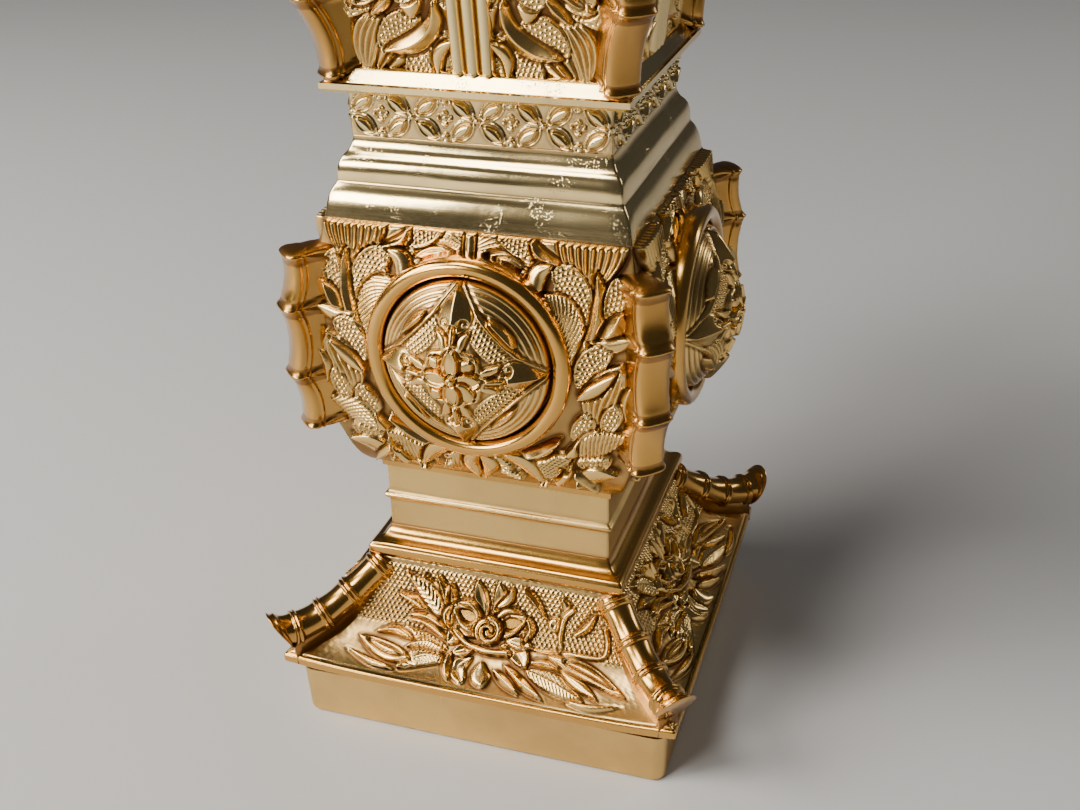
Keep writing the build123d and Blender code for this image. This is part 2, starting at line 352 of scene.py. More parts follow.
    def bead(self, x, s, radius, base=0.25, rise=0.55, dent=0.0, mirror=None):
        """A round boss, with a drilled dent if asked."""
        for side in self.sides(mirror):
            r = np.hypot(self.x - side * x, self.s - s)
            index = np.nonzero(r < radius + 0.45)
            r = r[index]
            dome = rise * arc(r / radius)
            shape = base + dome - dent * (1 - ramp(0, radius * 0.6, r))
            self.lay(index, radius - r, shape, 0.12)

    def tone(self, reach, strength=1.6, ground=0.3):
        """How deep each sample lies among its neighbours: 0 on crests, 1 in recesses, to paint shade into the
        recesses and the low ground.
        """
        around = blur(self.h, reach)
        return unit(0.40 + strength * (around - self.h) + ground * (1 - ramp(0.05, 0.3, self.h)))


def grains(a, b, pitch, rise=0.3):
    """Rounded grains on a triangular grid over the plane of a and b."""
    high = pitch * math.sqrt(3)
    near = np.full(np.shape(a), 9.0)
    for ox, oy in ((0, 0), (pitch / 2, high / 2)):
        da = np.mod(a + ox + pitch / 2, pitch) - pitch / 2
        db = np.mod(b + oy + high / 2, high) - high / 2
        near = np.minimum(near, np.hypot(da, db))
    return rise * arc(near / (pitch * 0.47))


def face_slab(name, line, x, h, tone, depth=0.6, lift=None):
    """One face's relief as a closed slab: the carved side, a plain back and four thin edges. line is
    the (half, height) side it lies on, x the samples across it, and h the carving's height."""
    normal = outward(line)
    half, height = line[:, :1], line[:, 1:]
    y = -(half + h * normal[:, :1])
    z = height + h * normal[:, 1:]
    back = line - normal * depth
    bx = x[:, [0, -1]] * back[:, :1] / half
    bz = np.repeat(back[:, 1:], 2, axis=1)
    if lift is not None:
        z = z + lift(np.abs(x) / half, half)
        bz = bz + lift(np.abs(bx) / half, half)
    front = np.stack([x, y, z], -1).reshape(-1, 3)
    rear = np.stack([bx, -np.repeat(back[:, :1], 2, axis=1), bz], -1).reshape(-1, 3)
    rows, columns = x.shape
    first = rows * columns
    faces = grid_faces(rows, columns)
    for i in range(rows - 1):
        a, b = i * columns, (i + 1) * columns
        ra, rb = first + 2 * i, first + 2 * (i + 1)
        faces.append([a, b, rb, ra])
        faces.append([b + columns - 1, a + columns - 1, ra + 1, rb + 1])
        faces.append([ra, rb, rb + 1, ra + 1])
    faces.append([first, first + 1] + list(range(columns - 1, -1, -1)))
    top = (rows - 1) * columns
    faces.append([first + 2 * rows - 1, first + 2 * rows - 2] + list(range(top, top + columns)))
    tones = np.concatenate([tone.ravel(), np.full(2 * rows, 0.5)])
    return make_mesh(name, np.vstack([front, rear]), faces, tones)


def four_faces(name, mesh, material, slot, replaces=None):
    """The same piece on each of the four faces, in place of the numbered CAD nodes it stands for."""
    for k, face in enumerate(FACES):
        gone = (f"{replaces}_{k + 1}",) if replaces else ()
        add(f"{name}_{face}", mesh, material, slot, gone, turn=90 * k)


# ---- materials ----
def settings(node, values):
    """Sets a shader node's inputs by name."""
    for key, value in values.items():
        node.inputs[key].default_value = value


def brass(name, bright, deep, rough, coat=0.0, grain=0.02, pits=0.0, streak=0.0):
    """Gilt brass: bright on the crests and darker in the hollows, as painted shade, by the pieces' tone
    attribute, with fine casting grain, smears of handling, small pits and faint polishing streaks."""
    mat = bpy.data.materials.new(name)
    mat.use_nodes = True
    nodes, links = mat.node_tree.nodes, mat.node_tree.links
    shader = nodes["Principled BSDF"]
    settings(shader, {"Metallic": 1.0, "Coat Weight": coat, "Coat Roughness": 0.12})
    place = nodes.new("ShaderNodeTexCoord").outputs["Object"]

    def noise(scale, detail=3.0, stretch=None):
        source = place
        if stretch:
            mapping = nodes.new("ShaderNodeMapping")
            settings(mapping, {"Scale": stretch})
            links.new(place, mapping.inputs["Vector"])
            source = mapping.outputs["Vector"]
        n = nodes.new("ShaderNodeTexNoise")
        settings(n, {"Scale": scale, "Detail": detail})
        links.new(source, n.inputs["Vector"])
        return n.outputs["Fac"]

    def spread(value, low, high, out_low, out_high):
        r = nodes.new("ShaderNodeMapRange")
        settings(r, {"From Min": low, "From Max": high, "To Min": out_low, "To Max": out_high})
        links.new(value, r.inputs["Value"])
        return r.outputs["Result"]

    def maths(kind, a, b):
        m = nodes.new("ShaderNodeMath")
        m.operation = kind
        for socket, v in zip(m.inputs, (a, b)):
            if isinstance(v, (int, float)):
                socket.default_value = v
            else:
                links.new(v, socket)
        return m.outputs["Value"]

    smear = noise(90, 4.0)
    cloud = noise(35, 2.0)
    # The tone attribute picks the colour: the base colour on crests, darkening towards the deep colour in
    # hollows as painted shade; the smear adds random tone.
    attribute = nodes.new("ShaderNodeAttribute")
    attribute.attribute_name = "tone"
    depth = maths("ADD", attribute.outputs["Fac"], spread(smear, 0.35, 0.65, -0.12, 0.12))
    colour = nodes.new("ShaderNodeValToRGB")
    stops = colour.color_ramp.elements
    stops[0].position, stops[0].color = 0.30, (*bright, 1)
    stops[1].position, stops[1].color = 0.95, (*deep, 1)
    stops.new(0.62).color = (*[0.45 * b + 0.55 * d for b, d in zip(bright, deep)], 1)
    links.new(depth, colour.inputs["Fac"])
    links.new(colour.outputs["Color"], shader.inputs["Base Color"])
    haze = spread(cloud, 0.3, 0.7, rough * 0.75, rough * 1.35)
    dull = maths("ADD", haze, spread(depth, 0.4, 1.0, 0.0, 0.22))
    links.new(dull, shader.inputs["Roughness"])

    fine = noise(900, 2.0)
    height = maths("MULTIPLY", fine, grain)
    if pits:
        speck = nodes.new("ShaderNodeTexVoronoi")
        settings(speck, {"Scale": 3500})
        links.new(place, speck.inputs["Vector"])
        pit = spread(speck.outputs["Distance"], 0.0, 0.35, -1.0, 0.0)
        where = spread(noise(160, 2.0), 0.52, 0.7, 0.0, pits)
        height = maths("ADD", height, maths("MULTIPLY", pit, where))
    if streak:
        height = maths("ADD", height, maths("MULTIPLY", noise(300, 2.0, (0.15, 0.15, 6.0)), streak))
    bump = nodes.new("ShaderNodeBump")
    settings(bump, {"Distance": 0.001, "Strength": 1.0})
    links.new(height, bump.inputs["Height"])
    links.new(bump.outputs["Normal"], shader.inputs["Normal"])
    return mat


PALE, AMBER = (0.84, 0.55, 0.19), (0.71, 0.38, 0.08)
BRIGHT, SATIN = (0.88, 0.67, 0.31), (0.81, 0.54, 0.19)
# The deep colours here darken the hollows as painted shade.
HOLLOW_SHADE, UMBER, BRONZE = (0.16, 0.075, 0.025), (0.26, 0.11, 0.02), (0.40, 0.24, 0.09)
relief_gilt = brass("gilt_relief", PALE, HOLLOW_SHADE, 0.22, grain=0.012)
amber_gilt = brass("gilt_amber", AMBER, UMBER, 0.19, coat=0.5, grain=0.006)
bright_gilt = brass("gilt_polished", BRIGHT, BRONZE, 0.14, grain=0.006, pits=0.03, streak=0.004)
satin_gilt = brass("gilt_satin", SATIN, BRONZE, 0.30, grain=0.02, pits=0.03, streak=0.008)
liner_brass = brass("liner_brass", (0.72, 0.52, 0.26), (0.34, 0.2, 0.09), 0.34, grain=0.02, streak=0.03)
turned_brass = brass("fastener_brass", (0.7, 0.52, 0.28), (0.3, 0.19, 0.1), 0.36, grain=0.02)

# ---- nodes that keep their CAD shape ----
CAD_TONE = 0.38
CAD_MATERIALS = {
    "plinth": satin_gilt, "body_shell": amber_gilt, "lattice_band": bright_gilt, "neck_shell": bright_gilt,
    "liner_tube": liner_brass, "liner_flange": liner_brass, "tie_stud": turned_brass,
    "tie_washer": turned_brass, "tie_nut": turned_brass,
}
for node, material in CAD_MATERIALS.items():
    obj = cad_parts[node]
    obj.data.materials.clear()
    obj.data.materials.append(material)
    tone = obj.data.attributes.new("tone", "FLOAT", "POINT")
    tone.data.foreach_set("value", np.full(len(obj.data.vertices), CAD_TONE, np.float32))

# ---- levels, from the frame and from how much shows of each casting ----
BELLY_HEIGHT, COLLAR_HEIGHT, BAND_HEIGHT, NECK_LIP, EAVE_HEIGHT = 37.3, 10.0, 5.8, 2.2, 2.5
SKIRT_TOP = span("base_skirt")[1]
BELLY_TOP = span("body_shell")[1]
COLLAR_TOP = BELLY_TOP - BELLY_HEIGHT
STEP_TOP = COLLAR_TOP - COLLAR_HEIGHT
BAND_TOP = span("lattice_band")[1]
BAND_LOW = BAND_TOP - BAND_HEIGHT
NECK_TOP = span("neck_shell")[1]
NECK_FOOT = BAND_TOP + NECK_LIP
EAVE = span("base_skirt")[0] + EAVE_HEIGHT
RIM_TOP = span("mouth_rim")[1]

# ---- plain mouldings ----
MOULDINGS = {
    "foot_step": (SKIRT_TOP, STEP_TOP, amber_gilt, "gilt_amber", 3),
    "foot_collar": (STEP_TOP, COLLAR_TOP, satin_gilt, "gilt_satin", 2),
    "shoulder_moulding": (BELLY_TOP, BAND_LOW, bright_gilt, "gilt_polished", 4),
    "mouth_rim": (NECK_TOP, RIM_TOP, bright_gilt, "gilt_polished", 4),
}
for order, (node, (low, high, material, slot, reach)) in enumerate(MOULDINGS.items()):
    section, flags = ring_section(node, low, high, MOULDING_STEP, reach)
    moulding = square_ring(f"{node}_worn", section, flags, seed=order + 11)
    add(f"{node}_worn", moulding, material, slot, (node,))


# ---- skirt and its relief ----
def eave_lift(share, half):
    """The eaves turn up a little towards the corners."""
    return 0.8 * unit(share) ** 4 * ramp(22.0, 28.9, half)


def canvas(line, step, columns, mirror=True):
    """A relief over a side line: even rows, and columns that fan out with the side's width."""
    line, s = even(worn(even(line, 0.1)[0], 4), step)
    t = np.linspace(-1, 1, columns)
    return line, s, t, Relief(t[None] * line[:, :1], np.repeat(s[:, None], columns, 1), mirror)


def off_sides(t, line, reach):
    """0 at a face's upright edges, and 1 from reach inside them."""
    return ramp(0, reach, (1 - np.abs(t))[None] * line[:, :1])


def settled(relief, t, line, s, side_reach=0.35, end_reach=0.3):
    """The carving, brought down to nothing at the face's edges."""
    side = off_sides(t, line, side_reach)
    ends = ramp(0, end_reach, s) * ramp(0, end_reach, s.max() - s)
    return 0.05 + relief.h * side * ends[:, None]


def skirt():
    """A flower with leaves and blades either side, no two alike, over a grained ground."""
    line, s, t, r = canvas(side_line("base_skirt", EAVE + 0.15, SKIRT_TOP), 0.16, 340, mirror=False)
    x, d = r.x, r.s
    # ground: raised grains above, a dull fine grain towards the eave
    upper = ramp(7.4, 8.2, d) * (1 - ramp(16.4, 16.8, d)) * ramp(0.6, 1.2, line[:, :1] - np.abs(x))
    dull = 0.015 * wobble(x, d, 0.7, 3) * (1 - upper) * ramp(0.6, 1.2, d)
    r.h = 0.1 + grains(x, d, 0.72, 0.32) * upper + dull
    # spray of blades, upper left
    for tip, width in (((-13.4, 16.0), 2.5), ((-14.0, 12.5), 2.2), ((-12.0, 9.7), 1.7), ((-10.6, 16.2), 1.9),
                       ((-8.0, 16.2), 1.9), ((-5.9, 15.4), 1.5)):
        middle = (0.55 * tip[0] - 0.45 * 5.8 + 0.3, 0.55 * tip[1] + 0.45 * 8.4 + 0.3)
        r.leaf([(-5.7, 8.2), middle, tip], width, "blade", 0.35, 0.75, skew=1.2)
    r.leaf([(-6.6, 9.8), (-9.8, 13.4), (-13.2, 15.8)], 2.6, "vein", 0.45, 0.5, pitch=0.9, lean=1.4)
    # leaves towards the lower left
    r.leaf([(-5.2, 5.6), (-9.6, 6.6), (-13.4, 7.9)], 1.9, "vein", rise=0.5, pitch=0.6)
    r.leaf([(-5.0, 6.6), (-9.0, 8.6), (-12.4, 8.9)], 1.2, "blade", rise=0.6)
    r.leaf([(-10.6, 6.0), (-13.4, 6.9), (-16.6, 6.1)], 1.7, "blade", rise=0.55)
    r.leaf([(-5.2, 4.0), (-8.6, 3.9), (-12.0, 1.2)], 3.4, "vein", rise=0.5, pitch=0.62, lean=-1.1)
    r.leaf([(-5.4, 5.2), (-8.6, 5.9), (-11.6, 4.7)], 1.6, "vein", rise=0.5, pitch=0.5)
    r.leaf([(-10.2, 2.9), (-14.6, 3.7), (-19.0, 5.2)], 3.0, "smooth", 0.3, 0.7)
    r.leaf([(-11.6, 3.3), (-14.4, 3.9), (-17.0, 4.7)], 1.0, "smooth", 0.85, 0.3)
    r.leaf([(-12.0, 1.0), (-16.0, 1.5), (-20.2, 2.9)], 1.3, "blade", rise=0.45)
    # upper stems over the flower
    r.leaf([(-0.2, 10.8), (-1.4, 13.8), (-2.2, 16.4)], 2.0, "scoop", rise=0.75, skew=1.2)
    r.leaf([(0.4, 10.8), (1.4, 13.8), (1.0, 16.6)], 2.0, "scoop", rise=0.75, skew=1.2)
    r.leaf([(1.0, 12.8), (2.6, 14.2), (3.2, 16.4)], 1.4, "smooth", rise=0.6)
    r.leaf([(4.6, 16.4), (6.4, 14.8), (8.4, 12.2)], 1.4, "blade", rise=0.8)
    r.bead(9.7, 11.8, 1.15, 0.5, 0.7, dent=0.35)
    r.leaf([(10.4, 12.4), (11.2, 14.2), (10.2, 16.2)], 1.4, "smooth", rise=0.5)
    r.stem([(11.0, 8.6), (10.6, 10.4), (10.9, 13.0), (12.0, 14.4)], 0.5, 0.8, 0.5, 0.3)
    r.leaf([(12.4, 10.6), (14.2, 12.2), (15.4, 14.6)], 1.5, "blade", rise=0.7)
    r.stem([(16.8, 12.4), (17.4, 10.4), (17.0, 8.4), (13.6, 8.0), (10.6, 7.7)], 0.6, 0.9, 0.4, 0.35)
    r.stem([(6.4, 11.0), (6.4, 8.0), (10.8, 7.9)], 0.5, 0.7, 0.35, 0.3)
    # long leaves to the right
    r.leaf([(6.6, 4.6), (10.6, 3.6), (15.9, 1.5)], 3.0, "vein", rise=0.5, pitch=0.62, lean=1.1)
    r.leaf([(6.8, 5.8), (9.6, 6.1), (12.4, 5.2)], 1.4, "blade", rise=0.5)
    r.leaf([(11.4, 5.9), (14.0, 4.3), (17.6, 2.2)], 1.9, "smooth", 0.35, 0.6)
    r.leaf([(9.4, 7.2), (15.0, 6.0), (21.4, 3.2)], 2.6, "smooth", 0.4, 0.75)
    r.leaf([(12.0, 6.9), (15.6, 6.0), (19.6, 4.2)], 0.9, "smooth", 1.05, 0.25)
    r.leaf([(13.2, 1.2), (17.0, 1.0), (21.0, 1.9)], 1.2, "blade", rise=0.4)
    # petals under the flower
    r.leaf([(-1.8, 0.8), (-3.0, 3.2), (-1.2, 5.2)], 2.4, "scoop", rise=0.5)
    r.leaf([(1.2, 0.9), (0.4, 2.8), (0.2, 4.8)], 3.0, "smooth", rise=0.6)
    r.leaf([(3.4, 4.9), (6.2, 2.8), (10.2, 0.6)], 1.9, "blade", rise=0.8)
    r.leaf([(2.0, 3.9), (4.2, 2.4), (6.6, 0.8)], 1.7, "blade", rise=0.6)
    r.leaf([(-4.6, 5.4), (-4.8, 3.0), (-4.0, 0.9)], 1.6, "blade", rise=0.6)
    # the flower: outer petals, cups, swoosh and spiral heart
    outer = (((-1.0, 7.8), (-3.6, 8.6), (-5.4, 6.2), 2.6), ((2.0, 7.4), (4.6, 7.2), (6.6, 4.8), 2.8),
             ((-0.6, 7.2), (-1.8, 6.4), (-4.4, 5.0), 2.0), ((2.4, 8.4), (5.6, 8.2), (6.9, 7.8), 1.9))
    for *points, width in outer:
        r.leaf(points, width, "scoop", 0.6, 0.6, skew=1.3)
    for side in (-1, 1):
        r.leaf([(side * 1.2, 9.2), (side * 3.4, 11.2), (side * 5.4, 11.9)], 3.9, "scoop", 0.35, 0.9,
               power=0.5)
        r.leaf([(side * 2.0, 10.4), (side * 3.6, 10.9), (side * 4.8, 11.3)], 1.7, "smooth", -0.1, 0.0)
        r.leaf([(side * 1.0, 11.0), (side * 2.8, 12.7), (side * 5.2, 12.6)], 1.0, "smooth", 0.9, 0.4)
        r.leaf([(side * 5.6, 12.2), (side * 6.4, 10.4), (side * 5.6, 8.4)], 1.3, "blade", 0.6, 0.6)
    r.stem([(-4.6, 8.4), (-2.6, 6.9), (0.4, 6.2), (3.6, 6.5)], 0.7, 1.1, 0.8, 0.45)
    turn = np.linspace(0, 2.4 * math.pi, 16)
    reach = 1.9 - 0.19 * turn
    r.bead(0.3, 9.1, 2.1, 0.8, 0.35)
    r.stem(np.stack([0.3 + reach * np.sin(turn), 9.1 + 1.1 * reach * np.cos(turn)], 1), 0.85, 0.5, 1.05, 0.45)
    r.h *= 1.1
    # tone: painted shade in the relief's recesses
    tone = r.tone(3, ground=0.1)
    return face_slab("skirt_relief", line, x, settled(r, t, line, s), tone, lift=eave_lift)


# ---- belly relief ----
def belly():
    """Leaves and dotted pods round the medallion, the same on both halves of the face."""
    line, s, t, r = canvas(side_line("body_shell", COLLAR_TOP + 0.8, BELLY_TOP), 0.145, 310)
    r.s = np.repeat(line[:, 1:], len(t), 1)       # drawn against height above the table
    z, x = r.s, r.x
    # top of the face: long ridged leaves either side of a bar
    r.leaf([(0.2, 73.4), (5.0, 74.6), (12.2, 72.4)], 5.0, "fan", 0.25, 0.45, ridges=8)
    r.leaf([(0.4, 71.2), (4.6, 72.3), (8.4, 70.4)], 2.6, "fan", 0.2, 0.4, ridges=4)
    r.stem([(0.0, 70.6), (0.0, 76.4)], 1.5, 1.3, 0.45, 0.4, mirror=False)
    r.leaf([(9.4, 76.6), (10.4, 74.6), (11.8, 72.8)], 3.0, "smooth", 0.2, 0.35)
    r.pod([(3.2, 76.0), (5.4, 75.4), (8.6, 73.2)], 3.4, 0.5)
    r.leaf([(7.8, 75.4), (9.0, 73.6), (12.0, 72.6)], 1.7, "blade", 0.65, 0.6)
    # fan in the corner
    r.leaf([(15.4, 70.0), (15.3, 74.0), (15.5, 83.0)], 8.6, "fan", 0.4, 0.8, ridges=9, skew=0.85)
    # between the ring and the corner, upper
    r.pod([(5.4, 70.8), (7.2, 70.5), (8.6, 69.0)], 1.9, 0.3)
    r.leaf([(10.6, 72.6), (8.8, 71.2), (8.4, 67.6)], 2.5, "smooth", 0.45, 0.7)
    r.pod([(10.6, 72.0), (12.6, 70.6), (15.0, 65.8)], 4.6, 0.45)
    r.leaf([(9.8, 69.2), (12.6, 66.4), (13.6, 59.6)], 4.0, "ribbed", 0.35, 0.65, pitch=0.7, lean=-1.3)
    r.leaf([(16.2, 72.4), (16.7, 68.6), (16.0, 64.8), (13.4, 59.8)], 2.1, "blade", 0.7, 0.55, skew=0.8)
    r.pod([(18.4, 71.8), (18.5, 69.4), (17.7, 66.4)], 2.7, 0.4)
    r.leaf([(19.4, 67.8), (18.4, 65.6), (16.4, 63.2)], 2.6, "blade", 0.45, 0.75)
    r.leaf([(20.8, 64.6), (18.0, 63.6), (15.4, 64.0)], 2.0, "smooth", 0.25, 0.5)
    # between the ring and the corner, middle
    r.pod([(18.2, 63.0), (16.2, 61.6), (14.2, 57.8)], 3.7, 0.45)
    r.leaf([(16.4, 52.8), (17.2, 56.4), (19.6, 61.6)], 5.4, "fan", 0.25, 0.6, ridges=7, skew=0.8)
    r.leaf([(14.0, 56.5), (16.4, 58.1), (19.2, 60.6)], 1.9, "smooth", 0.6, 0.65)
    r.leaf([(20.8, 58.8), (20.0, 56.2), (20.2, 53.4)], 1.7, "blade", 0.3, 0.5)
    r.pod([(19.0, 56.0), (18.4, 54.2), (17.2, 51.6)], 2.6, 0.4)
    r.pod([(15.4, 54.4), (14.8, 52.4), (13.2, 50.2)], 2.9, 0.45)
    r.leaf([(16.6, 52.2), (14.6, 49.4), (11.4, 46.9)], 2.3, "smooth", 0.5, 0.7)
    # lower corner and the leaves that lie along the lip
    r.leaf([(13.8, 47.8), (16.8, 50.0), (20.4, 51.6)], 3.6, "ribbed", 0.25, 0.55, pitch=0.66, lean=0.9)
    r.pod([(13.4, 46.6), (15.6, 46.2), (18.0, 47.4)], 2.3, 0.4)
    r.leaf([(12.8, 41.6), (15.4, 44.2), (18.9, 45.0)], 3.0, "smooth", 0.3, 0.6)
    r.leaf([(12.0, 44.8), (13.6, 43.2), (16.0, 41.2)], 1.9, "blade", 0.35, 0.6)
    r.leaf([(6.0, 43.2), (9.2, 44.9), (12.9, 47.6)], 4.2, "ribbed", 0.35, 0.65, pitch=0.66, lean=-0.8)
    r.leaf([(7.4, 41.4), (11.0, 42.6), (13.0, 46.6)], 1.5, "smooth", 0.6, 0.6)
    r.leaf([(11.8, 50.2), (8.2, 47.2), (3.2, 46.0)], 1.9, "blade", 0.5, 0.6)
    r.leaf([(3.6, 46.6), (6.2, 45.2), (8.6, 42.0)], 2.5, "smooth", 0.4, 0.65)
    r.leaf([(1.2, 46.4), (2.8, 44.2), (5.8, 41.6)], 3.1, "ribbed", 0.3, 0.6, pitch=0.62, lean=0.8)
    r.leaf([(0.2, 46.2), (1.3, 43.8), (0.2, 41.2)], 2.5, "smooth", 0.5, 0.6)
    for x0, z0 in ((5.0, 43.6), (9.8, 41.7), (11.6, 44.9), (19.4, 47.4)):
        r.bead(x0, z0, 0.55, 0.15, 0.2, dent=0.8)
    r.h *= 1.25
    # tone: painted shade in the relief's recesses
    tone = r.tone(3)
    swell = unit(1 - (x / 21.5) ** 2) * unit(1 - ((z - 58.0) / 18.0) ** 2)
    h = settled(r, t, line, s) + swell * off_sides(t, line, 0.35)
    return face_slab("belly_relief", line, x, h, tone)


# ---- lattice band ----
def lattice():
    """Interlaced rings that cross in pointed petals, with a small flower inside each ring."""
    line, s, t, r = canvas(side_line("lattice_band", BAND_LOW, BAND_TOP), 0.11, 290)
    middle = s[-1] / 2
    r.h[:] = 0.05
    pitch = 8.3
    # each petal: a flat border, a sunk line inside it and a rounded core, as
    # (where it starts, where it ends, width, base, rise)
    petal = (((0.25, 0.1), (3.6, 2.65), 2.5, 0.42, 0.08), ((0.65, 0.4), (3.2, 2.35), 1.85, 0.08, 0.0),
             ((0.8, 0.52), (3.05, 2.23), 1.4, 0.1, 0.5))
    for k in range(-2, 3):
        node = pitch * k
        for side in (-1, 1):
            for up in (-1, 1):
                for *ends, width, base, rise in petal:
                    r.leaf([(node + side * px, middle + up * ps) for px, ps in ends], width, base=base,
                           rise=rise, power=0.75, skew=1.0, mirror=False)
        r.bead(node, middle, 0.42, 0.25, 0.25, mirror=False)
    for centre in (4.15, 12.45):
        for up in (-1, 1):
            r.bead(centre, middle + up * 2.35, 0.62, 0.25, 0.35, dent=0.25)
        for ox, oy in ((0.55, 0), (-0.55, 0), (0, 0.55), (0, -0.55)):
            r.bead(centre + ox, middle + oy, 0.5, 0.1, 0.38)
        r.bead(centre, middle, 0.3, 0.15, 0.2, dent=0.25)
    r.h *= 1.3
    # tone: painted shade in the lattice's recesses, a little lighter overall
    tone = r.tone(3, 1.5) - 0.15
    return face_slab("lattice_relief", line, r.x, settled(r, t, line, s, 0.4, 0.15), tone)


# ---- neck ----
def neck():
    """Tiers of leaves either side of the reeds, growing with the neck's width."""
    full, s = even(worn(even(side_line("neck_shell", NECK_FOOT, NECK_TOP - 0.6), 0.1)[0], 3), 0.05)
    s = np.concatenate([np.arange(0, 11, 0.15), np.arange(11, s[-1], 0.24)])
    length = np.concatenate([[0], np.cumsum(np.hypot(*np.diff(full, axis=0).T))])
    line = np.stack([np.interp(s, length, full[:, 0]), np.interp(s, length, full[:, 1])], 1)
    t = np.linspace(-1, 1, 236)
    r = Relief(t[None] * line[:, :1], np.repeat(line[:, 1:], len(t), 1))
    r.h[:] = 0.1
    tiers, tall, drawn_half = 6, 9.2, 16.6      # drawn for a face this wide each way
    low = NECK_FOOT

    def put(*points):
        return [(px * wide, low + pz * grow) for px, pz in points]

    for k in range(tiers):
        wide = np.interp(low, line[:, 1], line[:, 0]) / drawn_half
        grow = 1.0 if k == 0 else wide
        r.pod(put((2.6, -0.6), (2.7, 1.2), (2.9, 2.6)), 2.2 * grow, 0.2)
        r.leaf(put((11.2, 7.4), (13.0, 4.0), (13.9, -0.4)), 4.8 * grow, "fan", 0.3, 0.6, ridges=6, skew=0.75)
        r.leaf(put((15.4, 6.4), (14.2, 8.4), (11.2, 8.0)), 3.4 * grow, "vein", 0.3, 0.5, pitch=0.7)
        r.leaf(put((1.4, 4.6), (8.0, 4.2), (12.9, -0.6)), 4.2 * grow, "smooth", 0.25, 0.5, skew=1.1)
        r.leaf(put((1.5, 4.7), (7.8, 4.4), (12.9, -0.4)), 1.1 * grow, "blade", 0.7, 0.45, skew=1.0)
        r.pod(put((5.2, 3.4), (6.6, 1.8), (8.3, -0.6)), 3.5 * grow, 0.5)
        r.leaf(put((2.2, 4.6), (4.2, 2.8), (4.4, -0.2)), 1.7 * grow, "smooth", 0.5, 0.7)
        r.pod(put((6.2, 6.7), (8.8, 5.7), (11.9, 3.3)), 3.9 * grow, 0.5)
        r.leaf(put((11.2, 2.9), (7.2, 3.9), (4.6, 6.4), (4.0, 10.8)), 2.7 * grow, "blade", 0.5, 0.85)
        r.leaf(put((2.4, 5.0), (2.2, 7.4), (4.0, 10.0)), 2.1 * grow, "blade", 0.45, 0.6)
        r.leaf(put((7.0, 6.9), (7.6, 9.4), (9.6, 11.2)), 3.0 * grow, "smooth", 0.45, 0.8)
        r.leaf(put((12.4, 7.0), (10.4, 8.6), (9.0, 10.6)), 1.7 * grow, "blade", 0.5, 0.7)
        r.leaf(put((15.2, 8.4), (12.6, 9.6), (10.6, 12.2)), 2.6 * grow, "smooth", 0.4, 0.7)
        low += tall * grow
    # tone: painted shade in the relief's recesses
    tone = r.tone(3)
    return face_slab("neck_relief", line, r.x, settled(r, t, line, s, 0.35, 0.2), tone)


def reeds():
    """Three upright reeds in the middle of a neck face, their feet rounded off."""
    z = np.linspace(NECK_FOOT + 0.1, NECK_TOP - 2.4, 150)
    inner = np.interp(z, *side_line("neck_shell", NECK_FOOT, NECK_TOP - 0.6).T[::-1])
    line = np.stack([inner, z], 1)
    share = np.linspace(-1.5, 1.5, 85)[None] + 0 * z[:, None]
    x = share * np.linspace(1.8, 2.3, len(z))[:, None]
    across = 2 * (np.mod(share + 0.5, 1) - 0.5)
    ends = ramp(0, 0.5, z - z[0]) * ramp(0, 0.5, z[-1] - z)
    h = 0.05 + (0.2 + 1.4 * unit(1 - np.abs(across) ** 2.6) ** 0.6) * ends[:, None]
    # tone: painted shade, darker where the reeds sink between each other and at their feet
    tone = unit(0.95 - 0.5 * h)
    return face_slab("neck_reeds_worn", line, x, h, tone, depth=0.5)


# ---- medallion ----
ring_low, ring_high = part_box("medallion_ring_1")
boss_low, boss_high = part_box("medallion_boss_1")
MEDALLION_Z = (ring_low.z + ring_high.z) / 2 / MM
RING_R = (ring_high.x - ring_low.x) / 2 / MM
RING_FACE = -ring_low.y / MM
BOSS_R = (boss_high.x - boss_low.x) / 2 / MM
BOSS_APEX = -boss_low.y / MM


def ring():
    """The smooth ring: a rounded crown with a step down to the boss inside it."""
    r = RING_R
    turn = np.radians(np.linspace(0, 180, 15))
    crown = np.stack([r - 1.15 + 1.15 * np.cos(turn), RING_FACE - 1.1 + 1.1 * np.sin(turn)], 1)
    bore = [(r - 2.34, RING_FACE - 1.6), (r - 2.5, RING_FACE - 1.9), (r - 2.6, RING_FACE - 5.2)]
    section = np.vstack([[(r, RING_FACE - 5.2)], crown, bore])
    a = np.linspace(0, math.tau, 160, endpoint=False)
    uneven = 1 + 0.002 * wobble(a * 6, a * 0, 5.0, 5)
    verts = np.stack([section[:, :1] * np.cos(a) * uneven, -section[:, 1:] + 0 * a,
                      section[:, :1] * np.sin(a) * uneven + MEDALLION_Z], -1)
    faces = grid_faces(len(section), len(a), wrap_columns=True, wrap_rows=True)
    return make_mesh("medallion_ring_worn", verts.reshape(-1, 3), faces)


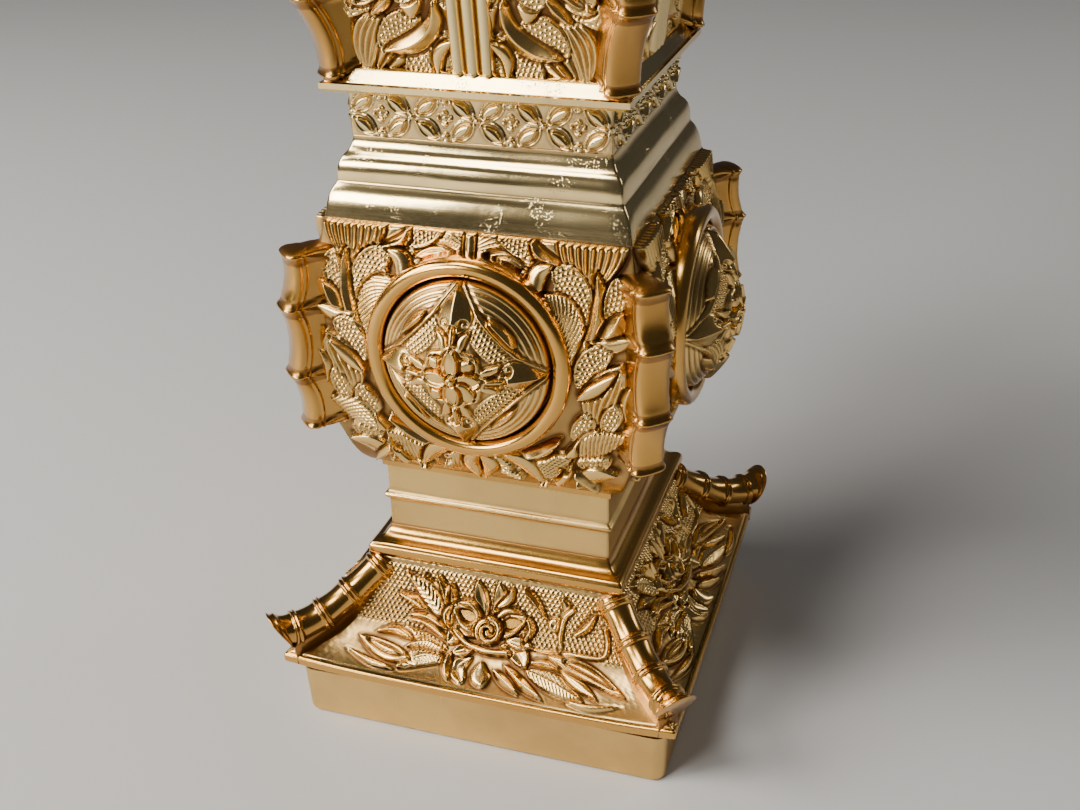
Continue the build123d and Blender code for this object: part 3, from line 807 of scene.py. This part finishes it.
def boss():
    """The domed ornament: a flower on a lobed calyx, in a square of dotted cells with four spears,
    and fine rings outside the square."""
    radii = np.linspace(0.05, BOSS_R, 96)
    a = np.linspace(0, math.tau, 380, endpoint=False)
    rad, ang = np.meshgrid(radii, a, indexing="ij")
    u, v = rad * np.cos(ang), rad * np.sin(ang)
    r = Relief(u, v, mirror=False)
    side = np.abs(u) + np.abs(v)
    r.h = np.where(side > 10.5, 0.1 + 0.26 * np.abs(np.sin(np.pi * (rad - 8.3) / 0.66)), 0.1)
    for k in range(4):
        r.pod(spin(k, (7.7, 1.6), (4.5, 4.5), (1.6, 7.7)), 3.5, 0.2, rim=0.22, rim_rise=0.15, pitch=0.62,
              power=0.4)
        r.stem(spin(k, (10.9, 0.2), (8.2, 2.3), (5.2, 5.2), (2.3, 8.2), (0.2, 10.9)), 0.6, 0.6, 0.45, 0.3)
        r.leaf(spin(k, (7.5, 3.9), (5.8, 5.8), (3.9, 7.5)), 1.2, "blade", 0.5, 0.6)
        r.leaf(spin(k, (5.4, 0.0), (8.0, 0.0), (10.95, 0.0)), 4.6, "blade", 0.3, 1.0, skew=0.62, power=1.0)
        r.stem(spin(k, (3.6, 0.0), (6.2, 0.0)), 0.95, 0.6, 0.7, 0.5)
        for tilt in (1, -1):
            hook = spin(k, (3.4, 1.0 * tilt), (4.9, 1.3 * tilt), (6.0, 2.2 * tilt))
            r.leaf(hook, 1.3, "smooth", 0.35, 0.45)
            r.bead(*spin(k, (6.6, 1.2 * tilt))[0], 0.4, 0.2, 0.45)
    lobe = 4.2 + 0.2 * np.cos(8 * ang)
    rise = 0.4 * arc(rad / (lobe + 0.1))
    cover = ramp(0, 0.25, lobe - rad)
    r.h = r.h * (1 - cover) + (0.55 + rise) * cover
    for k in range(4):
        r.leaf(spin(k, (0.5, 0.5), (1.7, 1.7), (2.6, 2.6)), 2.3, "smooth", 0.75, 0.45, skew=0.85, power=0.4)
        r.leaf(spin(k, (0.6, 0.0), (2.0, 0.0), (3.7, 0.0)), 2.4, "loop", 0.85, 0.5, skew=0.8, power=0.35)
    r.bead(0, 0, 0.6, 1.15, 0.5, dent=0.25)
    # tone: painted shade in the boss's recesses
    tone = r.tone(2, 1.3)
    edge = ramp(0, 0.3, BOSS_R - rad)
    rise = BOSS_APEX - 0.7 - (RING_FACE - 0.8)
    dome = RING_FACE - 0.8 + rise * unit(1 - (rad / BOSS_R) ** 2) ** 0.9
    verts = np.stack([u, -(dome + r.h * edge), v + MEDALLION_Z], -1).reshape(-1, 3)
    rim = np.stack([BOSS_R * np.cos(a), 0 * a - (RING_FACE - 5.0), BOSS_R * np.sin(a) + MEDALLION_Z], 1)
    rows, columns = rad.shape
    first = rows * columns
    faces = grid_faces(rows + 1, columns, wrap_columns=True)
    faces += [list(range(first, first + columns)), list(range(columns))]
    return make_mesh("medallion_boss_worn", np.vstack([verts, rim]), faces,
                     np.concatenate([tone.ravel(), np.full(columns, 0.5)]))


# ---- bamboo fins and ribs ----
def fin(name, knots, dips, node, low, high, lean):
    """An upright cane fin in the diagonal plane (distance from axis, height): flat flanks that end
    in a raised line, a rounded outer edge scooped between its knots, and a ridge at every knot."""
    knots = np.array(knots, float)
    rows = np.arange(low, high, 0.14)
    wall = side_line(node, *span(node))
    wall = wall[wall[:, 1] > low - 0.5]
    root = (ROOT2 * np.interp(rows, wall[:, 1], wall[:, 0]) - 1.8)[:, None]
    edge = np.interp(rows, knots[:, 1], knots[:, 0])
    step = np.diff(knots, axis=0)
    for end, way in ((0, 1), (-1, -1)):
        beyond = (rows - knots[end, 1]) * way < 0
        edge[beyond] = knots[end, 0] + (rows[beyond] - knots[end, 1]) * step[end, 0] / step[end, 1]
    for (d0, z0), (d1, z1), dip in zip(knots, knots[1:], dips):
        share = unit((rows - z0) / (z1 - z0))
        edge -= dip * 4 * share * (1 - share)
    close = np.min(np.abs(rows[:, None] - knots[None, :, 1]), axis=1)
    ridge = np.exp(-(close / 0.33) ** 2) - 0.35 * np.exp(-((close - 0.85) / 0.4) ** 2)
    cap = np.minimum(rows - rows[0], rows[-1] - rows)
    tuck = arc(1 - unit(cap / 0.6))
    depth = np.array([9.0, 5.0, 3.8, 3.0, 2.55, 2.3, 2.15, 2.0, 1.85, 1.7, 1.5, 1.2, 0.9, 0.6, 0.38, 0.2,
                      0.08, 0.0])                       # of each column's points behind the outer edge
    inner = np.concatenate([depth, depth[-2::-1]])
    flip = np.concatenate([np.ones(len(depth)), -np.ones(len(depth) - 1)])
    flip[len(depth) - 1] = 0
    face = 2.3 * (1 - unit(1 - inner / 1.5) ** 2.6) ** (1 / 2.6)
    plate = 1.75 + 0.42 * np.exp(-((inner - 2.0) / 0.16) ** 2)
    flank = np.where(inner < 1.9, np.minimum(face, 2.3 - 0.25 * ramp(0.9, 1.8, inner)), plate)
    split = np.zeros((len(rows), len(inner)))
    for knot in knots[:, 1]:
        for fork in (-1, 1):
            gap = rows[:, None] - knot - fork * 0.32 * np.clip(inner[None] - 2.0, 0, 3)
            split = np.maximum(split, 0.3 * np.exp(-(gap / 0.24) ** 2))
    width = flank[None] + 0.2 * ridge[:, None] * (inner[None] < 2.1) + split * (inner[None] >= 2.0)
    width = width * (0.35 + 0.65 * tuck[:, None])
    out = edge[:, None] + 0.1 * ridge[:, None] * (inner[None] < 0.5) - inner[None] - 0.9 * (1 - tuck[:, None])
    out = np.maximum(out, root + 0.1 * (9 - inner[None]))
    z = rows[:, None] + lean * np.minimum(inner, 6)[None]
    verts = np.stack([out, width * flip[None], z], -1)
    # tone: painted shade in the grooves beside each knot, not on the ridge itself
    tone = 0.42 + 0.3 * (np.abs(close) < 1.1)[:, None] * (1 - ridge[:, None]) + 0 * out
    return make_mesh(name, verts.reshape(-1, 3), tube_faces(len(rows), len(inner)), tone.ravel())


def rib():
    """A hip's bamboo rib: a cane swept down the hip with doubled knots, on a plate."""
    knots = [(25.0, 21.6), (29.7, 18.5), (34.2, 16.2), (38.5, 15.3), (42.0, 15.7)]
    path = smooth_line([(24.0, 22.4)] + knots, 26)
    path, s = even(path, 0.12)
    at = [s[np.argmin(np.hypot(*(path - k).T))] for k in knots[:-1]] + [s[-1] - 0.55]
    way = np.gradient(path, axis=0)
    way /= np.linalg.norm(way, axis=1)[:, None]
    radius = np.full(len(s), 2.3)
    for a, b in zip(at, at[1:]):
        share = unit((s - a) / (b - a))
        radius -= 0.7 * share * (1 - share)
    for knot in at:
        for double in (-0.32, 0.32):
            radius += 0.34 * np.exp(-((s - knot - double) / 0.2) ** 2)
    tip = s[-1] - s
    radius += 0.25 * np.exp(-(tip / 0.8) ** 2) - 0.5 * (1 - ramp(0, 0.3, tip))
    a = np.linspace(0, math.tau, 44, endpoint=False)
    normal = np.stack([-way[:, 1], way[:, 0]], 1)
    lift = radius[:, None] * np.sin(a)
    undercut = (lift - 1.4) * 0.75 * (1 - ramp(0, 3.0, tip))[:, None]      # the end is cut back below
    out, up = (path[:, [c]] + normal[:, [c]] * lift + way[:, [c]] * undercut for c in (0, 1))
    tube = np.stack([out, radius[:, None] * 1.04 * np.cos(a), up], -1).reshape(-1, 3)
    skirt_line = side_line("base_skirt", EAVE, SKIRT_TOP)[::-1]
    keep = (path[:, 0] > 25.4) & (path[:, 0] < 39.6)
    top = path[keep][::8]
    foot = np.interp(top[:, 0] / ROOT2, skirt_line[:, 0], skirt_line[:, 1]) - 0.9
    wide, waist = 1.75, 1.35                    # the plate's half thickness, and at mid height
    plate = []
    for (d, z), z0 in zip(top, foot):
        middle = (z + z0) / 2
        plate += [(d, -wide, z - 0.8), (d, wide, z - 0.8), (d, waist, middle), (d, wide, z0), (d, -wide, z0),
                  (d, -waist, middle)]
    n = len(tube)
    faces = tube_faces(len(s), len(a)) + tube_faces(len(top), 6, start=n)
    # tone: the plate under the cane is painted darker as shade
    tone = np.concatenate([np.full(n, 0.42), np.full(len(plate), 0.75)])
    return make_mesh("base_rib_worn", np.vstack([tube, plate]), faces, tone)


# ---- putting the pieces on ----
section, flags = ring_section("base_skirt", span("base_skirt")[0], SKIRT_TOP, 0.15, 3)
skirt_ring = square_ring("base_skirt_worn", section, flags, columns=41, lift=eave_lift, uneven=0)
add("base_skirt_worn", skirt_ring, amber_gilt, "gilt_amber", ("base_skirt",))
four_faces("skirt_relief", skirt(), relief_gilt, "gilt_relief")
four_faces("belly_relief", belly(), relief_gilt, "gilt_relief")
four_faces("lattice_relief", lattice(), bright_gilt, "gilt_polished")
four_faces("neck_relief", neck(), relief_gilt, "gilt_relief")
lip_slope = np.array([(18.9, -1.15), (18.9, -1.05), (17.6, 0.5), (17.2, 0.7), (16.0, 0.75)]) + (0, NECK_FOOT)
lip = worn(even(lip_slope, 0.1)[0], 3)
lip_section = np.vstack([lip, [(15.8, NECK_FOOT - 1.15)]])
lip_ring = square_ring("neck_lip_worn", lip_section, np.concatenate([np.ones(len(lip)), [0]]), seed=29)
add("neck_lip_worn", lip_ring, bright_gilt, "gilt_polished")
four_faces("neck_reeds_worn", reeds(), bright_gilt, "gilt_polished", "neck_reeds")
four_faces("medallion_ring_worn", ring(), amber_gilt, "gilt_amber", "medallion_ring")
four_faces("medallion_boss_worn", boss(), relief_gilt, "gilt_relief", "medallion_boss")

CANE_R = 1.95
body_knots, neck_knots = (
    [(ROOT2 * half + CANE_R, z) for half, z in knots]
    for knots in (((22.5, 47.6), (23.4, 55.2), (23.5, 64.6), (22.7, 71.6)),
                  ((17.5, 93.0), (19.6, 102.2), (20.8, 113.0), (22.5, 124.0), (24.8, 135.5), (27.6, 146.8))))
body_fin = fin("body_fin_worn", body_knots, [0.75, 0.9, 0.7], "body_shell", 47.0, 72.4, 0.0)
neck_fin = fin("neck_fin_worn", neck_knots, [1.0, 0.9, 0.9, 0.9, 0.9], "neck_shell", 92.3, 148.2, 0.2)
hip_rib = rib()
for k in range(4):
    turn = 90 * k - 45
    add(f"body_fin_worn_{k + 1}", body_fin, amber_gilt, "gilt_amber", (f"body_fin_{k + 1}",), turn)
    add(f"neck_fin_worn_{k + 1}", neck_fin, amber_gilt, "gilt_amber", (f"neck_fin_{k + 1}",), turn)
    add(f"base_rib_worn_{k + 1}", hip_rib, amber_gilt, "gilt_amber", (f"base_rib_{k + 1}",), turn)


# ---- camera, light and floor ----
def camera():
    """The view: distances in mm, angles in degrees."""
    azimuth, elevation, roll, distance, side, height = 18.56, 28.30, -1.33, 193.1, 1.3, 41.3
    a, e, r = (math.radians(v) for v in (azimuth, elevation, roll))
    back = Vector((math.sin(a) * math.cos(e), -math.cos(a) * math.cos(e), math.sin(e)))
    right = Vector((math.cos(a), math.sin(a), 0))
    up = back.cross(right)
    across = math.cos(r) * right + math.sin(r) * up
    upward = math.cos(r) * up - math.sin(r) * right
    data = bpy.data.cameras.new("view")
    data.sensor_width, data.lens, data.clip_start = 36.0, 44.2, 0.01
    cam = bpy.data.objects.new("view", data)
    place = Vector((0, 0, height)) + right * side + back * distance
    cam.matrix_world = Matrix.Translation(place * MM) @ Matrix((across, upward, back)).transposed().to_4x4()
    bpy.context.scene.collection.objects.link(cam)
    bpy.context.scene.camera = cam


def lamp(name, place, aim, size, power, colour=(1, 1, 1)):
    """A soft rectangular lamp, in metres, turned to face its aim."""
    data = bpy.data.lights.new(name, "AREA")
    data.shape, data.size, data.size_y = "RECTANGLE", size[0], size[1]
    data.energy, data.color = power, colour
    obj = bpy.data.objects.new(name, data)
    obj.location = place
    obj.rotation_euler = (Vector(aim) - Vector(place)).to_track_quat("-Z", "Y").to_euler()
    bpy.context.scene.collection.objects.link(obj)


def studio():
    """A plain pale floor, a dim world and four soft lamps."""
    mesh = bpy.data.meshes.new("floor")
    reach = 4.0
    corners = [(-reach, -reach, 0), (reach, -reach, 0), (reach, reach, 0), (-reach, reach, 0)]
    mesh.from_pydata(corners, [], [(0, 1, 2, 3)])
    floor = bpy.data.objects.new("floor", mesh)
    bpy.context.scene.collection.objects.link(floor)
    mat = bpy.data.materials.new("pale_floor")
    mat.use_nodes = True
    floor_finish = {"Base Color": (0.62, 0.61, 0.59, 1), "Roughness": 0.7}
    settings(mat.node_tree.nodes["Principled BSDF"], floor_finish)
    mesh.materials.append(mat)
    world = bpy.data.worlds.new("studio")
    world.use_nodes = True
    settings(world.node_tree.nodes["Background"], {"Color": (0.6, 0.6, 0.62, 1), "Strength": 0.09})
    bpy.context.scene.world = world
    lamp("window", (-0.52, -0.30, 0.40), (0, 0, 0.06), (0.30, 0.36), 5.5, (1.0, 0.97, 0.93))
    lamp("softbox", (-0.43, -0.70, 0.32), (0, 0, 0.07), (0.24, 0.24), 4.0, (1.0, 0.98, 0.95))
    lamp("overhead", (-0.24, -0.38, 0.72), (0, 0, 0.06), (0.26, 0.20), 2.6, (1.0, 0.98, 0.95))
    lamp("rear_edge", (0.5, 0.40, 0.35), (0, 0, 0.07), (0.08, 0.30), 0.6)


camera()
studio()
